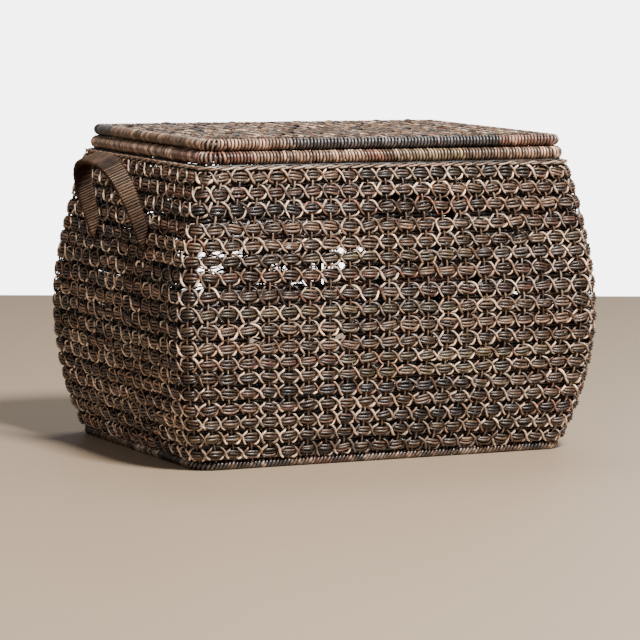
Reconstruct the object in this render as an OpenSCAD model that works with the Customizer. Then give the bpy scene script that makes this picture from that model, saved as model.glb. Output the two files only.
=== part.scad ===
// Wicker storage trunk: a bulging twined basket body woven on a steel rod frame,
// a flat hinged lid and two wrapped carrying handles.
// Origin: middle of the footprint at floor level. +Z up, +X to the right, front faces -Y.

/* [Overall size] */
// Height from the floor to the top of the closed lid
total_h = 430; // [400:5:460]
// Width of the lid
lid_w = 541; // [500:1:560]
// Depth of the lid
lid_d = 371; // [350:1:390]
// Width of the body rim
rim_w = 548.4; // [510:0.1:566]
// Depth of the body rim
rim_d = 387.7; // [366:0.1:406]
// Width of the footprint
base_w = 560; // [520:0.5:580]
// Depth of the footprint
base_d = 384; // [360:1:400]
// How far each end wall bulges past the rim
bulge_x = 42.6; // [35:0.1:60]
// How far the front and back walls bulge past the rim
bulge_y = 31; // [24:0.1:45]
// Height of the widest point of the bulge
bulge_z = 193; // [170:1:215]

/* [Woven walls] */
// Thickness of the woven wall
wall_t = 10; // [8:0.5:12]
// Outer radius of the upright corners
corner_r = 30; // [26:1:36]
// Stakes along the front and back, corner to corner
cols_long = 21; // [17:1:23]
// Stakes along each end, corner to corner
cols_short = 15; // [11:1:17]
// Diameter of one stake
stake_d = 3; // [2.4:0.1:3.4]
// Height at which the woven wall starts above the base border
wall_z0 = 12.6; // [12.6:0.1:14]

/* [Frame] */
// Radius of the body rim rod
rim_rod_r = 4; // [3:0.1:5]
// Radius of the whipped cord around the rim rod
rim_wrap_r = 9; // [8:0.1:9.5]
// Radius of the base rod
base_rod_r = 3; // [2.5:0.1:3.5]
// Radius of the braided border around the base rod
border_r = 6.4; // [6.2:0.1:6.6]
// Radius of the corner posts
post_r = 3.5; // [2.5:0.1:3.5]
// Radius of the ribs between the corners
rib_r = 3; // [2:0.1:3.4]

/* [Lid] */
// Radius of the whipped cord around the lid rod
lid_wrap_r = 7.7; // [7.4:0.1:7.9]
// Radius of the lid rod
lid_rod_r = 3.2; // [2.6:0.1:3.6]
// Gap between the closed lid and the body rim
lid_gap = 0.4; // [0.3:0.1:1]
// Centre-line radius of the lid corners
lid_corner_r = 14; // [12:1:20]

/* [Hinges] */
// Distance of each hinge from the middle
hinge_x = 150; // [120:5:180]
// Radius of the hinge pin
pin_r = 2; // [1.6:0.1:2.2]
// Radial clearance of the pin in its knuckles
pin_clear = 0.05; // [0.03:0.01:0.08]
// Outer radius of the knuckles
knuckle_r = 4; // [3.6:0.1:4.4]

/* [Handles] */
// Height of the middle of a handle foot
handle_z = 293.4; // [285:0.1:300]
// Half the distance between the feet
handle_a = 78; // [70:1:84]
// Length of the arch from feet to crown
handle_l = 107.6; // [100:0.1:112]
// Outward lean of the arch in degrees
handle_lean = 19.3; // [14:0.1:24]
// Tilt of the strap's flat side in degrees
handle_tilt = 22; // [16:1:26]
// Strap width at the feet
strap_w0 = 21.4; // [18:0.2:24]
// Extra strap width at the crown
strap_w1 = 10.6; // [6:0.2:12]
// Strap thickness with its wrapping
strap_t = 7; // [6:0.5:8]
// Thickness of the wrapping cord on the strap
strap_skin = 1.4; // [1:0.1:1.8]

/* [Hidden] */

lid_z0 = total_h - 2 * lid_wrap_r;            // underside of the lid
rim_top = lid_z0 - lid_gap;                   // top of the body rim
rim_z = rim_top - rim_wrap_r;                 // centre of the rim rod
lid_z = total_h - lid_wrap_r;                 // centre of the lid rod
twist_r = 2.7;                                // radius of the twisted pair under the rim
twist_z = rim_z - rim_wrap_r - twist_r - 0.5; // centre of the twisted pair
wall_z1 = twist_z - twist_r - 0.3;            // top of the woven wall
border_z = 6;                                 // centre of the base rod
hinge_y = lid_d / 2 + 12;                     // hinge axis, behind the lid
hinge_z = rim_top + 2.8;
bar_r = 3;                                    // floor bars
lid_bar_r = 2.8;                              // bars across the lid
nz = 15;                                      // wall rings, bottom to top
e = 0.01;

// ---- the bulging body outline --------------------------------------------
function frac(z) = z > bulge_z ? (z - bulge_z) / (rim_top - bulge_z) : (bulge_z - z) / bulge_z;
function swell(z) = 1 - pow(max(0, min(1, frac(z))), z > bulge_z ? 1.7 : 2.15);
function half_x(z) = z > bulge_z ? rim_w / 2 + bulge_x * swell(z)
                                 : base_w / 2 + (rim_w / 2 + bulge_x - base_w / 2) * swell(z);
function half_y(z) = z > bulge_z ? rim_d / 2 + bulge_y * swell(z)
                                 : base_d / 2 + (rim_d / 2 + bulge_y - base_d / 2) * swell(z);

// ---- vector helpers --------------------------------------------------------
function unit(v) = v / norm(v);
function tenth(v) = round(v * 10) / 10;
function tangent(p, i) = unit(p[min(i + 1, len(p) - 1)] - p[max(i - 1, 0)]);

// Points of a section swept along a path. ref is a direction that stays across the path.
function swept(path, ref, sec) = [
  for (i = [0 : len(path) - 1])
    let (t = tangent(path, i), u = unit(ref - (ref * t) * t), v = cross(t, u))
    for (q = sec[i]) path[i] + q[0] * u + q[1] * v];

// Closed skin over n rings of m points each.
function skin_faces(n, m) = concat(
  [[for (j = [0 : m - 1]) j]],
  [for (i = [0 : n - 2]) for (j = [0 : m - 1]) let (k = (j + 1) % m)
    each [[i * m + j, (i + 1) * m + j, (i + 1) * m + k], [i * m + j, (i + 1) * m + k, i * m + k]]],
  [[for (j = [m - 1 : -1 : 0]) (n - 1) * m + j]]);

module sweep(path, ref, sec) {
  polyhedron(points = swept(path, ref, sec), faces = skin_faces(len(path), len(sec[0])), convexity = 8);
}

function ngon(r, n) = [for (k = [0 : n - 1]) [r * cos(360 * k / n), r * sin(360 * k / n)]];

// ---- rings on a rounded rectangle -----------------------------------------
module rod_ring(hx, hy, rc, z, r) {
  for (s = [-1, 1]) {
    translate([-(hx - rc), s * hy, z]) rotate([0, 90, 0]) cylinder(r = r, h = 2 * (hx - rc), $fn = 32);
    translate([s * hx, -(hy - rc), z]) rotate([-90, 0, 0]) cylinder(r = r, h = 2 * (hy - rc), $fn = 32);
  }
  for (k = [0 : 3])
    translate([(k == 0 || k == 3 ? 1 : -1) * (hx - rc), (k < 2 ? 1 : -1) * (hy - rc), z])
      rotate([0, 0, 90 * k]) rotate_extrude(angle = 90, $fn = 64) translate([rc, 0]) circle(r = r, $fn = 32);
}

module slab(hx, hy, rc, z0, z1) {
  translate([-hx, -(hy - rc), z0]) cube([2 * hx, 2 * (hy - rc), z1 - z0]);
  translate([-(hx - rc), -hy, z0]) cube([2 * (hx - rc), 2 * hy, z1 - z0]);
  for (sx = [-1, 1]) for (sy = [-1, 1])
    translate([sx * (hx - rc), sy * (hy - rc), z0]) cylinder(r = rc, h = z1 - z0, $fn = 48);
}

// ---- uprights ----------------------------------------------------------------
post_z = [for (i = [0 : 14]) border_z + 3 + (rim_z - rim_rod_r - border_z - 3.5) * i / 14];
inset = wall_t + post_r + 1.7;
corner_z = [for (i = [0 : 14]) border_z + 5.4 + (rim_z - rim_rod_r - border_z - 5.9) * i / 14];
function post_path(sx, sy) = [for (z = corner_z)
  let (q = (corner_r - inset) * cos(45))
  [sx * (half_x(max(z, 12)) - corner_r + q), sy * (half_y(max(z, 12)) - corner_r + q), z]];
module post(sx, sy) sweep(post_path(sx, sy), [1, 0, 0], [for (z = post_z) ngon(post_r, 10)]);

rib_in = wall_t + stake_d + rib_r + 1.8;
function rib_path_y(f, sy) = [for (z = post_z) [f * (half_x(z) - corner_r * (1 - PI / 4)), sy * (half_y(max(z, 12)) - rib_in), z]];
function rib_path_x(sx) = [for (z = post_z) [sx * (half_x(max(z, 12)) - rib_in), 0, z]];
module rib_y(f, sy) sweep(rib_path_y(f, sy), [1, 0, 0], [for (z = post_z) ngon(rib_r, 10)]);
module rib_x(sx) sweep(rib_path_x(sx), [0, 1, 0], [for (z = post_z) ngon(rib_r, 10)]);

// ---- stakes: thin uprights against the inside of the weave ------------------
stake_z = [for (i = [0 : 8]) wall_z0 + 1 + (wall_z1 - wall_z0 - 2) * i / 8];
stake_in = wall_t + stake_d / 2 + 0.5;
module stake_y(f, sy) sweep([for (z = stake_z) [f * (half_x(z) - corner_r * (1 - PI / 4)), sy * (half_y(z) - stake_in), z]],
  [1, 0, 0], [for (z = stake_z) ngon(stake_d / 2, 5)]);
module stake_x(f, sx) sweep([for (z = stake_z) [sx * (half_x(z) - stake_in), f * (half_y(z) - corner_r * (1 - PI / 4)), z]],
  [0, 1, 0], [for (z = stake_z) ngon(stake_d / 2, 5)]);

// ---- woven walls: one curved panel per side, mitred at the corners ----------
wall_zs = [for (i = [0 : nz - 1]) wall_z0 + (wall_z1 - wall_z0) * i / (nz - 1)];
// Section of one side at height z, outer edge then inner edge. a is the side's outward angle.
function side_ring(z, a) =
  let (hx = half_x(z), hy = half_y(z), cx = hx - corner_r, cy = hy - corner_r,
       s1 = [for (k = [0 : 4]) a - 44 + 44 * k / 4], s2 = [for (k = [0 : 4]) a + 44 * k / 4],
       c1 = [sign(cos(a - 45)) * cx, sign(sin(a - 45)) * cy],
       c2 = [sign(cos(a + 45)) * cx, sign(sin(a + 45)) * cy],
       ro = corner_r, ri = corner_r - wall_t)
  concat([for (t = s1) [c1[0] + ro * cos(t), c1[1] + ro * sin(t), z]],
         [for (t = s2) [c2[0] + ro * cos(t), c2[1] + ro * sin(t), z]],
         [for (k = [4 : -1 : 0]) [c2[0] + ri * cos(s2[k]), c2[1] + ri * sin(s2[k]), z]],
         [for (k = [4 : -1 : 0]) [c1[0] + ri * cos(s1[k]), c1[1] + ri * sin(s1[k]), z]]);
// Capping strips join outer and inner edge of the first and last ring.
function wall_faces(n) = let (m = 20, h = 10) concat(
  [for (j = [0 : h - 2]) each [[j, j + 1, m - 2 - j], [j, m - 2 - j, m - 1 - j]]],
  [for (i = [0 : n - 2]) for (j = [0 : m - 1]) let (k = (j + 1) % m)
    each [[i * m + j, (i + 1) * m + j, (i + 1) * m + k], [i * m + j, (i + 1) * m + k, i * m + k]]],
  [for (j = [0 : h - 2]) let (o = (n - 1) * m)
    each [[o + j, o + m - 2 - j, o + j + 1], [o + j, o + m - 1 - j, o + m - 2 - j]]]);
module wall(a) {
  polyhedron(points = [for (z = wall_zs) each side_ring(z, a)], faces = wall_faces(nz), convexity = 10);
}

// ---- handles: a flat strap bent into a leaning arch ---------------------------
nh = 24;
hw = 2 / 2.75;
function sgnpow(v, q) = sign(v) * pow(abs(v), q);
// Foot tails sink 14 mm further down into the weave.
function arch(sx) = concat(
  [[sx * (half_x(handle_z) - 7), -handle_a, handle_z - 14]],
  [for (i = [0 : nh]) let (f = 180 * i / nh, l = handle_l * sgnpow(sin(f), hw))
    [sx * (half_x(handle_z) + l * sin(handle_lean)), -handle_a * sgnpow(cos(f), hw), handle_z + l * cos(handle_lean)]],
  [[sx * (half_x(handle_z) - 7), handle_a, handle_z - 14]]);
function strap_half(i, cut) = (strap_w0 + strap_w1 * sin(180 * max(0, min(nh, i - 1)) / nh)) / 2 - cut;
function strap_sec(i, cut) = let (w = strap_half(i, cut), t = strap_t / 2 - cut, b = 0.6 * t)
  [[w, b - t * 0.6 + 0.01], [w - b, t], [-(w - b), t], [-w, b - t * 0.6 + 0.01], [-w, -(b - t * 0.6 + 0.01) - 0.02], [-(w - b), -t], [w - b, -t], [w, -(b - t * 0.6 + 0.01) - 0.02]];
module strap(sx, cut) {
  sweep(arch(sx), [sx * cos(handle_tilt), 0, -sin(handle_tilt)], [for (i = [0 : nh + 2]) strap_sec(i, cut)]);
}

// ---- hinge pieces ------------------------------------------------------------
module knuckle(x0, x1) {
  translate([x0, hinge_y, hinge_z]) rotate([0, 90, 0]) cylinder(r = knuckle_r, h = x1 - x0, $fn = 40);
}
module pin_bore(x) {
  translate([x - 30, hinge_y, hinge_z]) rotate([0, 90, 0]) cylinder(r = pin_r + pin_clear, h = 60, $fn = 40);
}
// Plate from the hinge axis to the rod at (ty, tz), between x0 and x1.
module tab(x0, x1, ty, tz, stop_r) {
  d = norm([ty - hinge_y, tz - hinge_z]);
  a = atan2(tz - hinge_z, ty - hinge_y);
  translate([x0, hinge_y, hinge_z]) rotate([a, 0, 0]) translate([0, 0, -1.25]) cube([x1 - x0, d - stop_r, 2.5]);
}

// ============================ the pieces =====================================
module base_rod() color([0.16, 0.15, 0.15])
  rod_ring(base_w / 2 - border_z, base_d / 2 - border_z, 24, border_z, base_rod_r);

module base_border() color([0.27, 0.19, 0.14]) difference() {
  rod_ring(base_w / 2 - border_z, base_d / 2 - border_z, 24, border_z, border_r);
  rod_ring(base_w / 2 - border_z, base_d / 2 - border_z, 24, border_z, base_rod_r + 0.05);
  translate([-base_w, -base_d, -10]) cube([2 * base_w, 2 * base_d, 10]);
  for (x = [-134, 0, 134]) translate([x, -base_d / 2 + border_z, border_z]) rotate([-90, 0, 0])
    cylinder(r = bar_r + 0.05, h = base_d - 2 * border_z, $fn = 32);
}

module floor_bars() color([0.16, 0.15, 0.15]) difference() {
  for (x = [-134, 0, 134]) translate([x, -base_d / 2 + border_z, border_z]) rotate([-90, 0, 0])
    cylinder(r = bar_r, h = base_d - 2 * border_z, $fn = 32);
  rod_ring(base_w / 2 - border_z, base_d / 2 - border_z, 24, border_z, base_rod_r + 0.05);
}

module floor_weave() color([0.30, 0.22, 0.16])
  slab(base_w / 2 - 17, base_d / 2 - 17, 17, border_z + bar_r + 0.2, border_z + bar_r + 7.2);

module corner_post_front_left() color([0.16, 0.15, 0.15]) post(-1, -1);
module corner_post_front_right() color([0.16, 0.15, 0.15]) post(1, -1);
module corner_post_back_left() color([0.16, 0.15, 0.15]) post(-1, 1);
module corner_post_back_right() color([0.16, 0.15, 0.15]) post(1, 1);
module rib_front_left() color([0.16, 0.15, 0.15]) rib_y(-1 / 3, -1);
module rib_front_right() color([0.16, 0.15, 0.15]) rib_y(1 / 3, -1);
module rib_back_left() color([0.16, 0.15, 0.15]) rib_y(-1 / 3, 1);
module rib_back_right() color([0.16, 0.15, 0.15]) rib_y(1 / 3, 1);
module rib_left() color([0.16, 0.15, 0.15]) rib_x(-1);
module rib_right() color([0.16, 0.15, 0.15]) rib_x(1);

module stakes_front() color([0.36, 0.27, 0.19])
  for (k = [1 : cols_long - 1]) stake_y(-1 + 2 * k / cols_long, -1);
module stakes_back() color([0.36, 0.27, 0.19])
  for (k = [1 : cols_long - 1]) stake_y(-1 + 2 * k / cols_long, 1);
module stakes_left() color([0.36, 0.27, 0.19])
  for (k = [1 : cols_short - 1]) stake_x(-1 + 2 * k / cols_short, -1);
module stakes_right() color([0.36, 0.27, 0.19])
  for (k = [1 : cols_short - 1]) stake_x(-1 + 2 * k / cols_short, 1);

module wall_front() color([0.35, 0.26, 0.19]) wall(270);
module wall_back() color([0.35, 0.26, 0.19]) wall(90);
module wall_left() color([0.30, 0.22, 0.17]) wall(180);
module wall_right() color([0.30, 0.22, 0.17]) wall(0);

module rim_twist() color([0.52, 0.42, 0.31])
  rod_ring(tenth(half_x(twist_z) - twist_r), tenth(half_y(twist_z) - twist_r), corner_r - 3, tenth(twist_z), twist_r);

module rim_rod() color([0.16, 0.15, 0.15])
  rod_ring(rim_w / 2 - rim_wrap_r, rim_d / 2 - rim_wrap_r, 21, rim_z, rim_rod_r);

module rim_wrap() color([0.48, 0.36, 0.26]) difference() {
  rod_ring(rim_w / 2 - rim_wrap_r, rim_d / 2 - rim_wrap_r, 21, rim_z, rim_wrap_r);
  rod_ring(rim_w / 2 - rim_wrap_r, rim_d / 2 - rim_wrap_r, 21, rim_z, rim_rod_r + 0.05);
}

module handle_core_left() color([0.45, 0.33, 0.22]) strap(-1, strap_skin);
module handle_core_right() color([0.45, 0.33, 0.22]) strap(1, strap_skin);
module handle_wrap_left() color([0.40, 0.27, 0.17]) difference() { strap(-1, 0); strap_channel(-1); }
module handle_wrap_right() color([0.40, 0.27, 0.17]) difference() { strap(1, 0); strap_channel(1); }
module strap_channel(sx) {
  p = arch(sx);
  n = nh + 2;
  sweep([for (i = [0 : n]) i == 0 ? p[0] + (p[0] - p[1]) * 0.03 : i == n ? p[n] + (p[n] - p[n - 1]) * 0.03 : p[i]],
    [sx * cos(handle_tilt), 0, -sin(handle_tilt)], [for (i = [0 : n]) strap_sec(i, strap_skin - 0.05)]);
}

module hinge_body(x) difference() {
  union() for (s = [-1, 1]) {
    x0 = x + (s < 0 ? -15.3 : 6.3);
    knuckle(x0, x0 + 9);
    tab(x0 + 1, x0 + 8, rim_d / 2 - rim_wrap_r, rim_z, rim_rod_r + 0.05);
  }
  pin_bore(x);
}
module hinge_lid(x) difference() {
  union() {
    knuckle(x - 6, x + 6);
    tab(x - 5, x + 5, lid_d / 2 - lid_wrap_r, lid_z, lid_rod_r + 0.05);
  }
  pin_bore(x);
}
module hinge_pin(x) {
  translate([x - 15.8, hinge_y, hinge_z]) rotate([0, 90, 0]) cylinder(r = pin_r, h = 31.6, $fn = 40);
  for (s = [-1, 1]) translate([x + (s < 0 ? -17.2 : 15.7), hinge_y, hinge_z]) rotate([0, 90, 0])
    cylinder(r = 3.2, h = 1.5, $fn = 40);
}
module hinge_body_left() color([0.20, 0.19, 0.18]) hinge_body(-hinge_x);
module hinge_body_right() color([0.20, 0.19, 0.18]) hinge_body(hinge_x);
module hinge_pin_left() color([0.45, 0.44, 0.42]) hinge_pin(-hinge_x);
module hinge_pin_right() color([0.45, 0.44, 0.42]) hinge_pin(hinge_x);
module hinge_lid_left() color([0.20, 0.19, 0.18]) hinge_lid(-hinge_x);
module hinge_lid_right() color([0.20, 0.19, 0.18]) hinge_lid(hinge_x);

module lid_rod() color([0.16, 0.15, 0.15])
  rod_ring(lid_w / 2 - lid_wrap_r, lid_d / 2 - lid_wrap_r, lid_corner_r, lid_z, lid_rod_r);

lid_bar_xs = [-171, -57, 57, 171];
lid_bar_z = lid_z0 + lid_bar_r + 0.8;
module lid_bars() color([0.16, 0.15, 0.15]) difference() {
  for (x = lid_bar_xs) translate([x, -lid_d / 2 + lid_wrap_r, lid_bar_z]) rotate([-90, 0, 0])
    cylinder(r = lid_bar_r, h = lid_d - 2 * lid_wrap_r, $fn = 32);
  rod_ring(lid_w / 2 - lid_wrap_r, lid_d / 2 - lid_wrap_r, lid_corner_r, lid_z, lid_rod_r + 0.05);
}

module lid_weave() color([0.42, 0.35, 0.29])
  slab(lid_w / 2 - 2 * lid_wrap_r - 0.1, lid_d / 2 - 2 * lid_wrap_r - 0.1, 6, lid_bar_z + lid_bar_r + 0.1, total_h - 1.6);

module lid_wrap() color([0.45, 0.35, 0.27]) difference() {
  rod_ring(lid_w / 2 - lid_wrap_r, lid_d / 2 - lid_wrap_r, lid_corner_r, lid_z, lid_wrap_r);
  rod_ring(lid_w / 2 - lid_wrap_r, lid_d / 2 - lid_wrap_r, lid_corner_r, lid_z, lid_rod_r + 0.05);
  for (x = lid_bar_xs) translate([x, -lid_d / 2 + lid_wrap_r, lid_bar_z]) rotate([-90, 0, 0])
    cylinder(r = lid_bar_r + 0.05, h = lid_d - 2 * lid_wrap_r, $fn = 32);
}

base_rod();
base_border();
floor_bars();
floor_weave();
corner_post_front_left();
corner_post_front_right();
corner_post_back_left();
corner_post_back_right();
rib_front_left();
rib_front_right();
rib_back_left();
rib_back_right();
rib_left();
rib_right();
stakes_front();
stakes_back();
stakes_left();
stakes_right();
wall_front();
wall_back();
wall_left();
wall_right();
rim_twist();
rim_rod();
rim_wrap();
handle_core_left();
handle_core_right();
handle_wrap_left();
handle_wrap_right();
hinge_body_left();
hinge_body_right();
hinge_pin_left();
hinge_pin_right();
hinge_lid_left();
hinge_lid_right();
lid_rod();
lid_bars();
lid_weave();
lid_wrap();
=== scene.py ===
import bpy
import math
import numpy as np
from mathutils import Vector, Matrix


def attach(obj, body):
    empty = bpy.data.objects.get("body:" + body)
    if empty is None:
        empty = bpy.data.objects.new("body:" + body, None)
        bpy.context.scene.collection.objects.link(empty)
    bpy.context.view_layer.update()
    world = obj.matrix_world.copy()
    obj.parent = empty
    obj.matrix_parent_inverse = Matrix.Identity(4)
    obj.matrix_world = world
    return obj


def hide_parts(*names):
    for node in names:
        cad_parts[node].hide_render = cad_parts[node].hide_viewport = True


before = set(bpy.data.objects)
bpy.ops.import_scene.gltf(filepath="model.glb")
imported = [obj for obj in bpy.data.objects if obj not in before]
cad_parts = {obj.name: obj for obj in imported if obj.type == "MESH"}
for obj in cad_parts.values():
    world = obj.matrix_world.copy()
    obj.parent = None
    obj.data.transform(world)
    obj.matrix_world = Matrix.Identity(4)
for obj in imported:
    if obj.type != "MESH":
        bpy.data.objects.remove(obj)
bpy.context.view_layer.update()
MM = 0.001
SEED = 4021

# --------------------------------------------------------------------------
# camera (metres)
# --------------------------------------------------------------------------
CAM = np.array([-2.15576, -4.11777, 0.69729])
YAW, PITCH, ROLL = math.radians(27.430), math.radians(6.5296), 0.016345


def make_camera():
    fw = np.array([math.sin(YAW) * math.cos(PITCH), math.cos(YAW) * math.cos(PITCH), -math.sin(PITCH)])
    rt = np.array([math.cos(YAW), -math.sin(YAW), 0.0])
    up = np.cross(rt, fw)
    rt, up = rt * math.cos(ROLL) + up * math.sin(ROLL), -rt * math.sin(ROLL) + up * math.cos(ROLL)
    cam = bpy.data.objects.new("camera", bpy.data.cameras.new("camera"))
    m = Matrix([[rt[0], up[0], -fw[0], CAM[0]], [rt[1], up[1], -fw[1], CAM[1]], [rt[2], up[2], -fw[2], CAM[2]], [0, 0, 0, 1]])
    cam.matrix_world = m
    cam.data.sensor_width = 36.0
    cam.data.lens = 36.0 * 3402.03 / 640.0
    cam.data.shift_x = (320.0 - 309.785) / 640.0
    cam.data.shift_y = (320.831 - 320.0) / 640.0
    cam.data.clip_end = 60.0
    bpy.context.scene.collection.objects.link(cam)
    bpy.context.scene.camera = cam
    return cam


make_camera()

# --------------------------------------------------------------------------
# the trunk's outline, as in the CAD (millimetres)
# --------------------------------------------------------------------------
TOTAL_H = 430.0
LID_W, LID_D = 541.0, 371.0
RIM_W, RIM_D = 548.4, 387.7
BASE_W, BASE_D = 560.0, 384.0
BULGE_X, BULGE_Y, BULGE_Z = 42.6, 31.0, 193.0
CORNER_R = 30.0
N_LONG, N_SHORT = 21, 15
NCOL = 2 * (N_LONG + N_SHORT)
LID_WRAP_R, RIM_WRAP_R, BORDER_R = 7.7, 9.0, 6.4
LID_Z0 = TOTAL_H - 2 * LID_WRAP_R
RIM_TOP = LID_Z0 - 0.4
RIM_Z = RIM_TOP - RIM_WRAP_R
LID_Z = TOTAL_H - LID_WRAP_R
TWIST_Z = RIM_Z - RIM_WRAP_R - 3.2
WALL_Z0, WALL_Z1 = 12.6, TWIST_Z - 3.0
NROWS = 18


def halves(z):
    z = np.asarray(z, float)
    up = z > BULGE_Z
    t = np.clip(np.where(up, (z - BULGE_Z) / (RIM_TOP - BULGE_Z), (BULGE_Z - z) / BULGE_Z), 0, 1.2)
    s = 1 - t ** np.where(up, 1.7, 2.15)
    hx = np.where(up, RIM_W / 2 + BULGE_X * s, BASE_W / 2 + (RIM_W / 2 + BULGE_X - BASE_W / 2) * s)
    hy = np.where(up, RIM_D / 2 + BULGE_Y * s, BASE_D / 2 + (RIM_D / 2 + BULGE_Y - BASE_D / 2) * s)
    return hx, hy


SIDES = (  # middle column, columns, along (x, y), out (x, y), True when the side is a long one
    (N_LONG / 2, N_LONG, (1, 0), (0, -1), True),
    (N_LONG + N_SHORT / 2, N_SHORT, (0, 1), (1, 0), False),
    (N_LONG * 1.5 + N_SHORT, N_LONG, (-1, 0), (0, 1), True),
    (2 * N_LONG + N_SHORT * 1.5, N_SHORT, (0, -1), (-1, 0), False),
)


def surface(u, z):
    """Point, outward normal and upward tangent of the wall at column u and height z."""
    u = np.mod(np.asarray(u, float), NCOL)
    z = np.broadcast_to(np.asarray(z, float), u.shape)
    hx, hy = halves(z)
    a, b = halves(z + 0.5), halves(z - 0.5)
    dx, dy = a[0] - b[0], a[1] - b[1]
    p, n2, rate = np.zeros(u.shape + (2,)), np.zeros(u.shape + (2,)), np.zeros(u.shape)
    for mid, cols, al, out, long in SIDES:
        m = (u >= mid - cols / 2) & (u < mid + cols / 2)
        along, perp = (hx, hy) if long else (hy, hx)
        dal, dpe = (dx, dy) if long else (dy, dx)
        L = along - CORNER_R
        s = (u - mid) / (cols / 2) * (L + CORNER_R * math.pi / 4)
        f = np.clip((np.abs(s) - L) / CORNER_R, 0, None)
        sg = np.sign(s)
        A = np.where(f > 0, sg * (L + CORNER_R * np.sin(f)), s)
        B = perp - CORNER_R + CORNER_R * np.cos(f)
        na, nb = sg * np.sin(f), np.cos(f)
        al, out = np.array(al), np.array(out)
        p[m] = (A[..., None] * al + B[..., None] * out)[m]
        n2[m] = (na[..., None] * al + nb[..., None] * out)[m]
        rate[m] = (np.abs(na) * dal + nb * dpe)[m]
    k = 1 / np.sqrt(1 + rate ** 2)
    P = np.concatenate([p, z[..., None]], -1)
    N = np.concatenate([n2 * k[..., None], (-rate * k)[..., None]], -1)
    T = np.concatenate([n2 * (rate * k)[..., None], k[..., None]], -1)
    return P, N, T


# distance of each row from the one below it, along the bulging wall: hand weaving is never quite even
ROW_STEPS = (9.0, 22.8, 21.0, 21.4, 20.2, 21.6, 19.4, 20.2, 23.2, 21.2, 23.4, 25.2, 21.2, 19.2, 23.2, 24.6, 22.4, 21.3)


def arc_rows():
    z = np.linspace(WALL_Z0 - 1.0, WALL_Z1 + 1.0, 1500)
    hx, hy = halves(z)
    h = (hx + hy) / 2
    s = np.concatenate([[0], np.cumsum(np.hypot(np.diff(z), np.diff(h)))])
    at = np.cumsum(ROW_STEPS)
    gap = np.append(np.diff(at), 20.0)
    below = np.insert(np.diff(at), 0, 21.5)
    return np.interp(at * (s[-1] - 8.5) / at[-1], s, z), gap, (gap + below) / 2


# --------------------------------------------------------------------------
# mesh building
# --------------------------------------------------------------------------
def unit(v):
    return v / np.maximum(np.linalg.norm(v, axis=-1, keepdims=True), 1e-9)


def hashrand(*k):
    return np.random.default_rng([SEED, *[int(x) for x in k]])


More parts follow.
